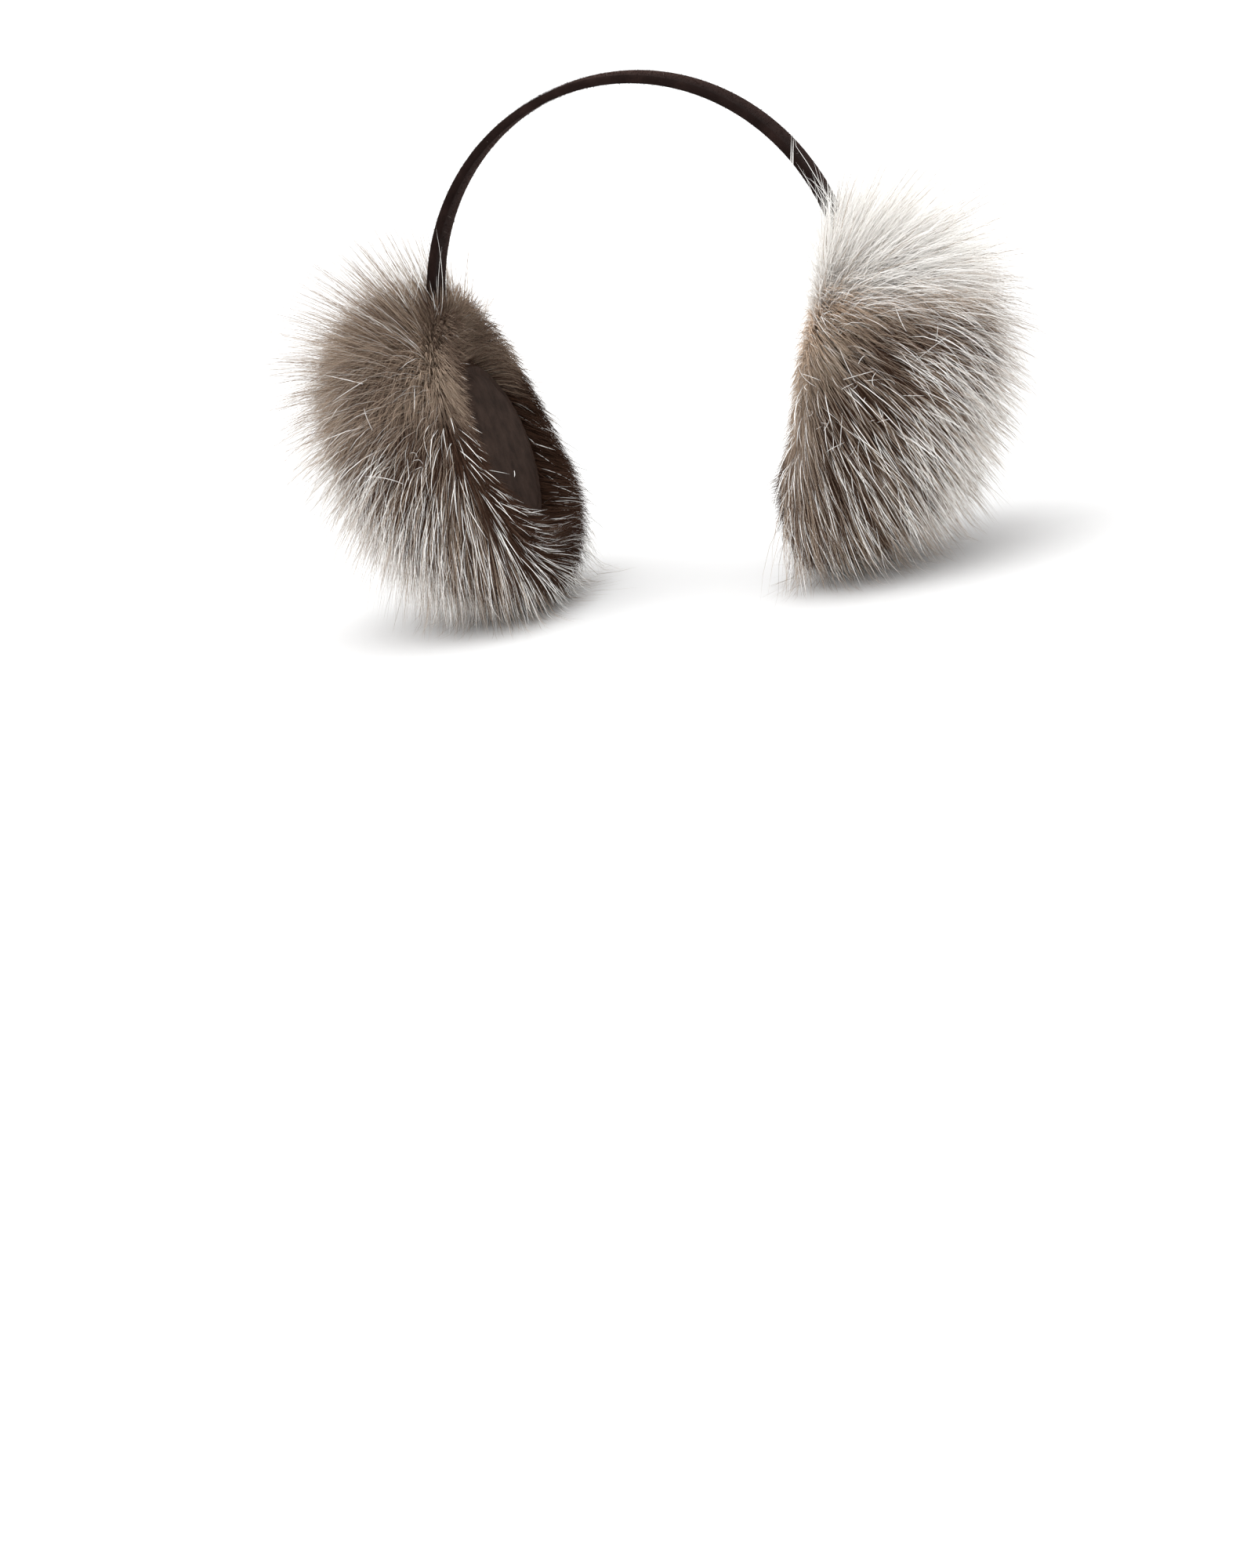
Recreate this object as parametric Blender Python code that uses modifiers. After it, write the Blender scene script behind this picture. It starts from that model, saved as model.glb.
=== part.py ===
"""Fur earmuffs: a velvet-covered spring band, two round pads of long fur and two ear cushions.

The earmuffs stand on their two pads. Metres, +Z up, the wearer faces -Y, and the origin is on
the floor, midway between the pads.
"""

import math

import bmesh
import bpy
from mathutils import Matrix, Vector

# Headband: a strip bent in one plane, with its curvature easing from the crown to the ends.
CROWN_RADIUS = 0.083
CURVATURE_EASE_SHARE = 0.235
BAND_HALF_LENGTH = 0.158
BAND_WIDTH = 0.018
BAND_THICKNESS = 0.0034
BAND_EDGE_ROUNDING = 0.0013
BAND_STEPS = 44

# Fur pad: how it hangs on the band's end, and its reaches from its middle to its locks' ends.
# A roundness of 2 is an ellipsoid, and more than 2 is fuller between the axes.
TAIL_ABOVE_PAD_MIDDLE = 0.033
TAIL_OUTSIDE_PAD_MIDDLE = 0.0018
PAD_TILT_DEGREES = 2.5
PAD_REACH_UP = 0.082
PAD_REACH_DOWN = 0.075
PAD_REACH_SIDE = 0.070
PAD_REACH_OUT = 0.062
PAD_REACH_IN = 0.014
PAD_STANDS_AT = 0.066
PAD_ROUNDNESS = 2.3

# The fur's dense body, as shares of the reaches, and the share where it is pressed on the floor.
FUR_BODY_SHARE = 0.80
FUR_FOOT_SHARE = 0.96

# Locks of fur round the pad's outward axis, each with its twin across the pad.
LOCK_PAIRS = 35
LOCK_ROOT_RADIUS = 0.0104
LOCK_TIP_RADIUS = 0.0011
LOCK_LENGTH_VARIATION_SHARE = 0.06
LOCK_HANG_SHARE = 0.32
FLOOR_HOLDS_LOCKS_AT = 0.0030
FLOOR_EASE = 0.0040

# Ear cushion, seated in the pad's inner side.
CUSHION_RADIUS = 0.036
CUSHION_THICKNESS = 0.0045
CUSHION_CROWN = 0.0012
CUSHION_EDGE_ROUNDING = 0.0014
CUSHION_BACK_INSIDE_MIDDLE = 0.0030

# Points closer than this are one point after pieces are joined.
JOIN_DISTANCE = 0.000004

# Gaps between neighbouring pieces.
SEAT_GAP = 0.0003
BAND_SLOT_GAP = 0.0003

# A lock's form from its root to its tip: place along its length, share of the root's radius.
LOCK_FORM = (
    ("along", "radius"),
    (0.00, 0.90),
    (0.36, 1.00),
    (0.72, 0.62),
    (1.00, 0.00),
)


def bow_points(steps):
    """Points of the band's middle line, from the crown to one end, and its turn at each point."""
    points = [(0.0, 0.0)]
    turns = [0.0]
    step = BAND_HALF_LENGTH / steps
    for number in range(steps):
        share = (number + 0.5) / steps
        curvature = (1 - CURVATURE_EASE_SHARE * share * share) / CROWN_RADIUS
        middle_turn = turns[-1] + 0.5 * step * curvature
        turns.append(turns[-1] + step * curvature)
        x, z = points[-1]
        points.append((x + step * math.cos(middle_turn), z - step * math.sin(middle_turn)))
    return points, turns


BOW, BOW_TURNS = bow_points(BAND_STEPS // 2)
TAIL_X, TAIL_BELOW_CROWN = BOW[-1]

# The pad's frame leans with the band's end, with +x away from the head and +z along the band.
PAD_LEAN = BOW_TURNS[-1] - math.pi / 2 + math.radians(PAD_TILT_DEGREES)
PAD_TURN = Matrix.Rotation(PAD_LEAN, 3, "Y")
TAIL_FROM_MIDDLE = PAD_TURN @ Vector((TAIL_OUTSIDE_PAD_MIDDLE, 0.0, TAIL_ABOVE_PAD_MIDDLE))
PAD_MIDDLE = Vector((TAIL_X - TAIL_FROM_MIDDLE.x, 0.0, PAD_STANDS_AT))
CROWN_Z = PAD_STANDS_AT + TAIL_FROM_MIDDLE.z - TAIL_BELOW_CROWN


def clear_scene():
    for obj in list(bpy.data.objects):
        bpy.data.objects.remove(obj, do_unlink=True)


def new_collection(name):
    collection = bpy.data.collections.new(name)
    bpy.context.scene.collection.children.link(collection)
    return collection


def new_material(name, colour, roughness):
    material = bpy.data.materials.new(name)
    material.use_nodes = True
    shader = material.node_tree.nodes["Principled BSDF"]
    shader.inputs["Base Color"].default_value = (*colour, 1.0)
    shader.inputs["Roughness"].default_value = roughness
    shader.inputs["Metallic"].default_value = 0.0
    return material


def object_from_bmesh(name, mesh_data, collection):
    mesh = bpy.data.meshes.new(name)
    mesh_data.to_mesh(mesh)
    mesh_data.free()
    obj = bpy.data.objects.new(name, mesh)
    collection.objects.link(obj)
    return obj


def object_from_curve(name, curve_object, collection):
    """The curve's evaluated mesh as a new object, with its caps welded. The curve is removed."""
    bpy.context.view_layer.update()
    graph = bpy.context.evaluated_depsgraph_get()
    mesh = bpy.data.meshes.new_from_object(curve_object.evaluated_get(graph))
    mesh_data = bmesh.new()
    mesh_data.from_mesh(mesh)
    bmesh.ops.remove_doubles(mesh_data, verts=mesh_data.verts, dist=0.000001)
    bmesh.ops.recalc_face_normals(mesh_data, faces=mesh_data.faces)
    mesh_data.to_mesh(mesh)
    mesh_data.free()
    mesh.name = name
    obj = bpy.data.objects.new(name, mesh)
    obj.matrix_world = curve_object.matrix_world
    collection.objects.link(obj)
    bpy.data.objects.remove(curve_object, do_unlink=True)
    return obj


def boolean(obj, cutter, operation, own_crossings=False):
    modifier = obj.modifiers.new(cutter.name, "BOOLEAN")
    modifier.operation = operation
    modifier.solver = "EXACT"
    modifier.use_self = own_crossings
    modifier.object = cutter
    return modifier


def apply_modifiers(obj):
    """Replaces the object's mesh with its evaluated mesh."""
    bpy.context.view_layer.update()
    graph = bpy.context.evaluated_depsgraph_get()
    mesh = bpy.data.meshes.new_from_object(obj.evaluated_get(graph))
    obj.modifiers.clear()
    obj.data = mesh


def skin_groups(mesh_data):
    """Groups of faces that form one closed skin each, parted where four faces share an edge."""
    left = set(mesh_data.faces)
    while left:
        group = {left.pop()}
        front = list(group)
        while front:
            for edge in front.pop().edges:
                if len(edge.link_faces) != 2:
                    continue
                new_faces = [face for face in edge.link_faces if face in left]
                left.difference_update(new_faces)
                group.update(new_faces)
                front.extend(new_faces)
        yield group


def signed_volume(faces):
    """Three times the volume inside a closed skin of flat faces."""
    return sum(face.verts[0].co.dot(face.normal) * face.calc_area() for face in faces)


def keep_outer_skin(obj, as_triangles):
    """Fills the hair-fine pockets that joined locks can close off between them."""
    mesh_data = bmesh.new()
    mesh_data.from_mesh(obj.data)
    bmesh.ops.remove_doubles(mesh_data, verts=mesh_data.verts, dist=JOIN_DISTANCE)
    bmesh.ops.dissolve_degenerate(mesh_data, edges=mesh_data.edges, dist=JOIN_DISTANCE)
    if as_triangles:
        bmesh.ops.triangulate(mesh_data, faces=mesh_data.faces)
    mesh_data.normal_update()
    groups = sorted(skin_groups(mesh_data), key=signed_volume)
    pockets = [face for group in groups[:-1] for face in group]
    bmesh.ops.delete(mesh_data, geom=pockets, context="FACES")
    mesh_data.to_mesh(obj.data)
    mesh_data.free()


def hide_as_cutter(obj):
    obj.hide_render = True
    obj.display_type = "WIRE"


def band_section(name, growth, collection):
    """The strip's section as a closed curve: a flat box with rounded edges, grown all round."""
    half_width = 0.5 * BAND_WIDTH + growth
    half_thickness = 0.5 * BAND_THICKNESS + growth
    rounding = BAND_EDGE_ROUNDING
    corners = ((1, 1), (-1, 1), (-1, -1), (1, -1))
    points = []
    for number, (side, face) in enumerate(corners):
        for part in (0.0, 0.5, 1.0):
            angle = math.pi / 2 * (number + part)
            points.append((
                side * (half_width - rounding) + rounding * math.cos(angle),
                face * (half_thickness - rounding) + rounding * math.sin(angle),
            ))
    curve = bpy.data.curves.new(name, "CURVE")
    curve.dimensions = "2D"
    spline = curve.splines.new("POLY")
    spline.points.add(len(points) - 1)
    for point, (across, through) in zip(spline.points, points):
        point.co = (across, through, 0.0, 1.0)
    spline.use_cyclic_u = True
    obj = bpy.data.objects.new(name, curve)
    collection.objects.link(obj)
    hide_as_cutter(obj)
    return obj


def make_band_body(name, growth, collection, helpers):
    """The strip swept along the bow. growth adds to its faces and its ends, as for a cutter."""
    end_x = TAIL_X + growth * math.cos(BOW_TURNS[-1])
    end_z = TAIL_BELOW_CROWN - growth * math.sin(BOW_TURNS[-1])
    half = BOW[:-1] + [(end_x, end_z)]
    line = [(-x, z) for x, z in reversed(half[1:])] + half
    section = band_section(name + "_section", growth, helpers)
    curve = bpy.data.curves.new(name, "CURVE")
    curve.dimensions = "3D"
    curve.twist_mode = "MINIMUM"
    curve.bevel_mode = "OBJECT"
    curve.bevel_object = section
    curve.use_fill_caps = True
    spline = curve.splines.new("POLY")
    spline.points.add(len(line) - 1)
    for point, (x, z) in zip(spline.points, line):
        point.co = (x, 0.0, CROWN_Z + z, 1.0)
    curve_object = bpy.data.objects.new(name + "_line", curve)
    collection.objects.link(curve_object)
    body = object_from_curve(name, curve_object, collection)
    bpy.data.objects.remove(section, do_unlink=True)
    return body


def fur_reach(direction):
    """How far the fur's outer form lies from the pad's middle, along a direction of its frame."""
    across = PAD_REACH_OUT if direction.x > 0 else PAD_REACH_SIDE
    upright = PAD_REACH_UP if direction.z > 0 else PAD_REACH_DOWN
    shares = (direction.x / across, direction.y / PAD_REACH_SIDE, direction.z / upright)
    return sum(abs(share) ** PAD_ROUNDNESS for share in shares) ** (-1 / PAD_ROUNDNESS)


def make_fur_body(name, collection):
    """The dense fur under the locks' ends: a ball drawn out to the pad's form and foot."""
    mesh_data = bmesh.new()
    bmesh.ops.create_uvsphere(mesh_data, u_segments=26, v_segments=14, radius=1.0)
    for vertex in mesh_data.verts:
        direction = Vector((vertex.co.z, vertex.co.x, vertex.co.y))
        downward = max(0.0, -(PAD_TURN @ direction).z)
        share = FUR_BODY_SHARE + (FUR_FOOT_SHARE - FUR_BODY_SHARE) * downward ** 6
        place = direction * fur_reach(direction) * share
        place.x = max(place.x, -FUR_BODY_SHARE * PAD_REACH_IN)
        vertex.co = PAD_MIDDLE + PAD_TURN @ place
    bmesh.ops.recalc_face_normals(mesh_data, faces=mesh_data.faces)
    return object_from_bmesh(name, mesh_data, collection)


def lock_directions():
    """Evenly spread directions from the pad's outward axis to just past its rim, back and front."""
    golden_share = (3 - math.sqrt(5)) / 2
    past_rim = PAD_REACH_IN / PAD_REACH_SIDE
    for number in range(LOCK_PAIRS):
        outward = 1 - (1 + past_rim) * (number + 0.5) / LOCK_PAIRS
        ring = math.sqrt(1 - outward * outward)
        turn = math.pi * ((golden_share * number + 0.5) % 1.0)
        for side in (1, -1):
            yield number, Vector((outward, side * ring * math.sin(turn), ring * math.cos(turn)))


def held_off_floor(height):
    """A lock's height over the floor, eased so that it never sinks below where it lies."""
    over = height - FLOOR_HOLDS_LOCKS_AT
    return FLOOR_HOLDS_LOCKS_AT + 0.5 * (over + math.sqrt(over * over + FLOOR_EASE ** 2))


def make_locks(name, collection):
    """Tapered locks of fur: each leaves the body steeply, and its end hangs over to the form."""
    curve = bpy.data.curves.new(name, "CURVE")
    curve.dimensions = "3D"
    curve.bevel_depth = LOCK_ROOT_RADIUS
    curve.bevel_resolution = 1
    curve.use_fill_caps = True
    tip_share = LOCK_TIP_RADIUS / LOCK_ROOT_RADIUS
    for number, direction in lock_directions():
        wave = (math.sin(2.4 * number) + 0.5 * math.sin(5.7 * number)) / 1.5
        length = fur_reach(direction) * (1 + LOCK_LENGTH_VARIATION_SHARE * wave)
        tip = PAD_TURN @ direction * length
        rising = (tip.normalized() + Vector((0, 0, LOCK_HANG_SHARE))).normalized()
        root = rising * tip.length * FUR_BODY_SHARE * 0.5
        shoulder = rising * tip.length * FUR_BODY_SHARE
        spline = curve.splines.new("POLY")
        spline.points.add(len(LOCK_FORM) - 2)
        for point, (along, radius_share) in zip(spline.points, LOCK_FORM[1:]):
            lower = root.lerp(shoulder, along)
            upper = shoulder.lerp(tip, along)
            place = PAD_MIDDLE + lower.lerp(upper, along)
            place.z = held_off_floor(place.z)
            point.co = (*place, 1.0)
            point.radius = tip_share + (1 - tip_share) * radius_share
    curve_object = bpy.data.objects.new(name + "_lines", curve)
    collection.objects.link(curve_object)
    return object_from_curve(name, curve_object, collection)


def make_floor_cutter(name, collection):
    """A block under the floor, wider than the pads."""
    size = 4 * (PAD_MIDDLE.x + PAD_REACH_OUT)
    bpy.ops.mesh.primitive_cube_add(size=size, location=(0, 0, -size / 2))
    cutter = bpy.context.object
    cutter.name = name
    move_to(cutter, collection)
    hide_as_cutter(cutter)
    return cutter


def inside_pad(distance):
    """A point on the pad's axis, this far from its middle towards the head."""
    return PAD_MIDDLE - PAD_TURN @ Vector((distance, 0, 0))


def make_recess_cutter(name, collection):
    """A round block that clears the cushion's seat, from its back to well inside the head space."""
    depth = 3 * PAD_REACH_IN
    bpy.ops.mesh.primitive_cylinder_add(
        vertices=40,
        radius=CUSHION_RADIUS + SEAT_GAP,
        depth=depth,
        location=inside_pad(CUSHION_BACK_INSIDE_MIDDLE + depth / 2),
        rotation=(0, PAD_LEAN - math.pi / 2, 0),
    )
    cutter = bpy.context.object
    cutter.name = name
    move_to(cutter, collection)
    hide_as_cutter(cutter)
    return cutter


def move_to(obj, collection):
    for other in list(obj.users_collection):
        other.objects.unlink(obj)
    collection.objects.link(obj)


def make_fur_pad(name, collection, helpers):
    """The right pad: the fur's body joined with its locks, cut for the band, cushion and floor."""
    pad = make_fur_body(name, collection)
    locks = make_locks(name + "_locks", helpers)
    slot = make_band_body(name + "_band_slot", BAND_SLOT_GAP, helpers, helpers)
    recess = make_recess_cutter(name + "_recess", helpers)
    floor = make_floor_cutter(name + "_floor", helpers)
    for cutter in (locks, slot):
        hide_as_cutter(cutter)
    boolean(pad, locks, "UNION", own_crossings=True)
    apply_modifiers(pad)
    keep_outer_skin(pad, as_triangles=False)
    boolean(pad, recess, "DIFFERENCE")
    boolean(pad, slot, "DIFFERENCE")
    boolean(pad, floor, "DIFFERENCE")
    apply_modifiers(pad)
    keep_outer_skin(pad, as_triangles=True)
    return pad


def make_cushion(name, collection):
    """The right cushion: a turned disc, crowned towards the head, with rounded edges."""
    crown_steps = 3
    edge_steps = 3
    profile = [(0.0, 0.0)]
    flat_radius = CUSHION_RADIUS - CUSHION_EDGE_ROUNDING
    for number in range(edge_steps + 1):
        angle = math.pi / 2 * number / edge_steps
        profile.append((
            flat_radius + CUSHION_EDGE_ROUNDING * math.sin(angle),
            CUSHION_EDGE_ROUNDING * (1 - math.cos(angle)),
        ))
    face = CUSHION_THICKNESS - CUSHION_CROWN
    for number in range(edge_steps + 1):
        angle = math.pi / 2 * number / edge_steps
        profile.append((
            flat_radius + CUSHION_EDGE_ROUNDING * math.cos(angle),
            face - CUSHION_EDGE_ROUNDING * (1 - math.sin(angle)),
        ))
    for number in range(1, crown_steps + 1):
        radius = flat_radius * (1 - number / crown_steps)
        profile.append((radius, face + CUSHION_CROWN * (1 - (radius / flat_radius) ** 2)))
    mesh_data = bmesh.new()
    vertices = [mesh_data.verts.new((radius, 0.0, height)) for radius, height in reversed(profile)]
    for first, second in zip(vertices, vertices[1:]):
        mesh_data.edges.new((first, second))
    cushion = object_from_bmesh(name, mesh_data, collection)
    screw = cushion.modifiers.new("Turn", "SCREW")
    screw.axis = "Z"
    screw.angle = 2 * math.pi
    screw.steps = 30
    screw.render_steps = 30
    screw.use_merge_vertices = True
    screw.merge_threshold = 0.00001
    apply_modifiers(cushion)
    cushion.rotation_euler = (0, PAD_LEAN - math.pi / 2, 0)
    cushion.location = inside_pad(CUSHION_BACK_INSIDE_MIDDLE + SEAT_GAP)
    return cushion


def mirrored_copy(obj, name, collection):
    """The same piece on the other side of the head, its mesh mirrored in the plane x = 0."""
    mesh_data = bmesh.new()
    mesh_data.from_mesh(obj.data)
    bpy.context.view_layer.update()
    mesh_data.transform(obj.matrix_world)
    for vertex in mesh_data.verts:
        vertex.co.x = -vertex.co.x
    bmesh.ops.reverse_faces(mesh_data, faces=mesh_data.faces)
    return object_from_bmesh(name, mesh_data, collection)


def finish_piece(obj, material, smooth_angle):
    obj.data.materials.clear()
    obj.data.materials.append(material)
    obj.data.shade_smooth()
    obj.data.set_sharp_from_angle(angle=math.radians(smooth_angle))


def main():
    clear_scene()
    pieces = new_collection("fur_earmuffs")
    helpers = new_collection("cutters")
    velvet = new_material("band_velvet", (0.020, 0.012, 0.010), 0.92)
    fur = new_material("fur", (0.32, 0.26, 0.21), 0.80)
    cushion_cloth = new_material("cushion_cloth", (0.035, 0.022, 0.017), 0.90)

    band = make_band_body("headband", 0.0, pieces, helpers)
    finish_piece(band, velvet, 50)

    right_pad = make_fur_pad("fur_pad_right", pieces, helpers)
    left_pad = mirrored_copy(right_pad, "fur_pad_left", pieces)
    right_cushion = make_cushion("ear_cushion_right", pieces)
    left_cushion = mirrored_copy(right_cushion, "ear_cushion_left", pieces)
    for pad in (right_pad, left_pad):
        finish_piece(pad, fur, 60)
    for cushion in (right_cushion, left_cushion):
        finish_piece(cushion, cushion_cloth, 50)


main()
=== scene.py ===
"""Fur earmuffs: a velvet band, two pads of long silver fur and two padded ear cushions.

Metres, +Z up, the wearer faces -Y, and the earmuffs stand on their two pads.
"""

import math
from collections import namedtuple

import bpy
import numpy as np
from bpy.props import FloatProperty, FloatVectorProperty, IntProperty, PointerProperty
from mathutils import Matrix, Vector
from mathutils.kdtree import KDTree


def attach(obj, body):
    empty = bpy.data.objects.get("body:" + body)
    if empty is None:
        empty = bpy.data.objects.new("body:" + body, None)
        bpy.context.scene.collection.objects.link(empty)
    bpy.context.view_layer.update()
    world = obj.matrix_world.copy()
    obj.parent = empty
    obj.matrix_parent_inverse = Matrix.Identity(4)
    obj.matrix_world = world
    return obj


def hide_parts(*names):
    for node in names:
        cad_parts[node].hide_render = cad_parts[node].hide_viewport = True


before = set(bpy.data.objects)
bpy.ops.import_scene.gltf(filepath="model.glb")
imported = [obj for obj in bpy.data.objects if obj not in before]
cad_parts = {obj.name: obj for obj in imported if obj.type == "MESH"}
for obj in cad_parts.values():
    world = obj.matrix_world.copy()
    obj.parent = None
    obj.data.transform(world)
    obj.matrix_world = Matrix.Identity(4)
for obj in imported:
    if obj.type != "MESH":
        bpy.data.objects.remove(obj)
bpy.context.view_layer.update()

bl_info = {
    "name": "Fur Earmuffs",
    "version": (1, 0, 0),
    "blender": (4, 5, 0),
    "location": "3D View > Sidebar > Earmuffs",
    "description": "Builds the velvet band, fur pads and ear cushions of a pair of earmuffs",
    "category": "Add Mesh",
}

# Each pad's side of the head: 1 is +X.
SIDES = {"right": 1, "left": -1}

# The turn from one direction to the next in an even spiral over a ball.
GOLDEN_SHARE = (3 - math.sqrt(5)) / 2

# The least outward share of a hair's and of a wisp's direction, and the share below which hairs
# lean to a ring round the cushion.
INNERMOST = -0.42
WISPS_INNERMOST = -0.1
RING_STARTS = -0.07

# Roots start this far inside the pelt's flat face.
HAIR_DEPTH = 0.0005

# Hairs keep this far from the cushion's rim, the strip and the floor.
RIM_GAP = 0.0012
STRIP_GAP = 0.0006
FLOOR_GAP = 0.0009

# Hairs ease into a limit over this distance.
EASE = 0.004

# On its outer side the fur is fuller above and leaner below.
FULLER_ABOVE = 0.32
LEANER_BELOW = 0.27

# Height of the slow waves along each hair.
HAIR_WAVE = 0.0003

# Small locks of underfur on a pad.
UNDERFUR_LOCKS = 2400

# Seeds of the random draws. The second pad's fur has the next one.
FUR_SEED = 40
PELT_SEED = 7
NAP_SEED = 11

# Holds each hair's root-to-tip share as u and its tone as v.
HAIR_MAP = "OFBake"

# Each side's whorl behind, as a direction: out, back and up. Its mirror image is in front.
WHORLS = {1: (0.04, 0.87, 0.49), -1: (0.0, 0.82, 0.57)}

# Degrees from the whorl over which its pale underfur ends.
WHORL_SPANS = {1: (4, 28), -1: (4, 26)}

# A kind of hair: widths from root to tip, root's place as a share of the pelt's body, bend as a
# share of the length, and pull towards its lock.
HairKind = namedtuple("HairKind", "taper root_share bend pull")
UNDERFUR = HairKind((0.00032, 0.00032, 0.00024, 0.0), 0.90, 0.12, 0.35)
GUARD_HAIR = HairKind((0.00016, 0.00021, 0.00023, 0.00022, 0.00016, 0.0), 0.92, 0.13, 0.36)
WISPS = HairKind((0.00016, 0.00019, 0.00018, 0.00015, 0.00010, 0.0), 0.92, 0.12, 0.0)
STRAY_TAPER = (0.00020, 0.00026, 0.00026, 0.00025, 0.00022, 0.00016, 0.0)
STRAY_TONE = 0.97
NAP_TAPER = (0.00011, 0.00009, 0.0)

# Lint in the nap: its share of the fibres, its tone, and its length beside theirs.
LINT_SHARE, LINT_TONE, LINT_LENGTH = 0.0022, 0.97, 2.6

# Where guard hairs are silver: outer is a span of the outward share, near and far are degrees
# from the whorl, high is what is left of the near ones high up, and the rest are chances.
SilverSpread = namedtuple(
    "SilverSpread", "outer near far near_base near_outer high far_base far_inner"
)
SILVER = {
    1: SilverSpread((0.2, 0.95), (12, 50), (52, 112), 0.045, 0.31, 1.0, 0.08, 0.0),
    -1: SilverSpread((-0.1, 0.6), (12, 55), (46, 100), 0.06, 0.22, 0.2, 0.07, 0.42),
}
LEAST_SILVER, FAR_SILVER, FAR_OUTER = 0.02, 0.28, 1.25

# Single silver hairs that cross the band or curl by a whorl, and how far up the first reach.
Strays = namedtuple("Strays", "crossing curled rise")
STRAYS = {1: Strays(54, 90, 0.044), -1: Strays(16, 18, 0.024)}

# Height of the pile and the weave in the bumps.
BUMP_HEIGHT = 0.0002

# The strip's halves join within this.
MERGE_DISTANCE = 0.00001


def number_property(name, description, default, **more):
    return FloatProperty(name=name, description=description, default=default, **more)


def length_property(name, description, default):
    return number_property(name, description, default, unit="LENGTH")


def share_property(name, description, default):
    return number_property(name, description, default, subtype="FACTOR")


def angle_property(name, description, degrees):
    radians = math.radians(degrees)
    return number_property(name, description, radians, subtype="ANGLE", unit="ROTATION")


def lean_property(name, default):
    return FloatVectorProperty(
        name=name, description="Lean of the hair roots: out, back, up", default=default, size=3
    )


def colour_property(name, description, default):
    return FloatVectorProperty(
        name=name, description=description, default=default, subtype="COLOR", size=3, min=0, max=1
    )


class BandSettings(bpy.types.PropertyGroup):
    """The band's strip and its velvet"""

    crown_radius: length_property("Crown radius", "Bend radius at the crown", 0.083)
    curvature_ease: share_property("Curvature ease", "Loss of curvature at the ends", 0.235)
    half_length: length_property("Half length", "From the crown to one end", 0.158)
    width: length_property("Width", "Width of the strip", 0.018)
    thickness: length_property("Thickness", "Thickness of the strip", 0.0034)
    edge_rounding: length_property("Edge rounding", "Radius of the strip's long edges", 0.0013)
    crown_height: length_property("Crown height", "Floor to the middle of the strip", 0.2074)
    nap_length: length_property("Nap length", "Length of the velvet's fibres", 0.0007)
    nap_count: IntProperty(name="Nap fibres", description="Fibres over the strip", default=20000)
    velvet: colour_property("Velvet", "Colour of the velvet", (0.0145, 0.0082, 0.007))
    # The velvet sheen is a painted sheen: the pile's colour where it is seen edge-on.
    velvet_sheen: colour_property("Velvet sheen", "Painted sheen where the pile is seen from its side", (0.066, 0.032, 0.025))


class PadSettings(bpy.types.PropertyGroup):
    """The pads' place and form, and their fur"""

    middle_out: length_property("Middle out", "From the middle plane to a pad's middle", 0.0749)
    middle_height: length_property("Middle height", "Floor to a pad's middle", 0.066)
    lean: angle_property("Lean", "How far a pad's top leans away from the head", 13.03)
    reach_up: length_property("Reach up", "Fur above the middle", 0.082)
    reach_down: length_property("Reach down", "Fur below the middle", 0.075)
    reach_side: length_property("Reach side", "Fur to the front and back", 0.070)
    reach_out: length_property("Reach out", "Fur away from the head", 0.062)
    reach_in: length_property("Reach in", "Fur towards the head", 0.014)
    roundness: number_property("Roundness", "2 is an ellipsoid", 2.3)
    right_lean: lean_property("Right lean", (-0.12, 0.0, 0.27))
    left_lean: lean_property("Left lean", (0.03, 0.0, 0.27))
    body: share_property("Body", "Size of the pelt's body under the hairs", 0.68)
    inner_face: length_property("Inner face", "From the middle to the pelt's flat face", 0.0027)
    most_out: length_property("Most out", "Wisps away from the head", 0.0805)
    most_side: length_property("Most side", "Wisps to the front and back", 0.0855)
    underfur_count: IntProperty(name="Underfur", description="Soft hairs on a pad", default=36000)
    guard_count: IntProperty(name="Guard hairs", description="Stiff hairs on a pad", default=21000)
    guard_locks: IntProperty(name="Guard locks", description="Small locks on a pad", default=6500)
    wisp_count: IntProperty(name="Wisps", description="Stray hairs on a pad", default=6000)
    brown: colour_property("Brown", "Underfur in the shade of the pad", (0.076, 0.040, 0.026))
    tan: colour_property("Tan", "Underfur round the whorls", (0.56, 0.44, 0.34))
    cream: colour_property("Cream", "Palest underfur", (0.96, 0.945, 0.925))
    silver: colour_property("Silver", "Pale part of the guard hairs", (0.98, 0.965, 0.94))


class CushionSettings(bpy.types.PropertyGroup):
    """The padded discs against the ears"""

    radius: length_property("Radius", "Radius of a cushion", 0.036)
    thickness: length_property("Thickness", "Thickness at the rim", 0.0033)
    back: length_property("Back", "From the pad's middle to the cushion's back", 0.0033)
    crown: length_property("Crown", "Swell of the front inside the seam", 0.0011)
    seam_radius: length_property("Seam radius", "Radius of the sewn ring", 0.0322)
    seam_depth: length_property("Seam depth", "How far the seam draws the front in", 0.0012)
    gathers: IntProperty(name="Gathers", description="Small folds round the seam", default=58)
    gather_height: length_property("Gather height", "Height of the small folds", 0.0003)
    cloth: colour_property("Cloth", "Colour of the cloth", (0.036, 0.023, 0.018))


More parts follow.
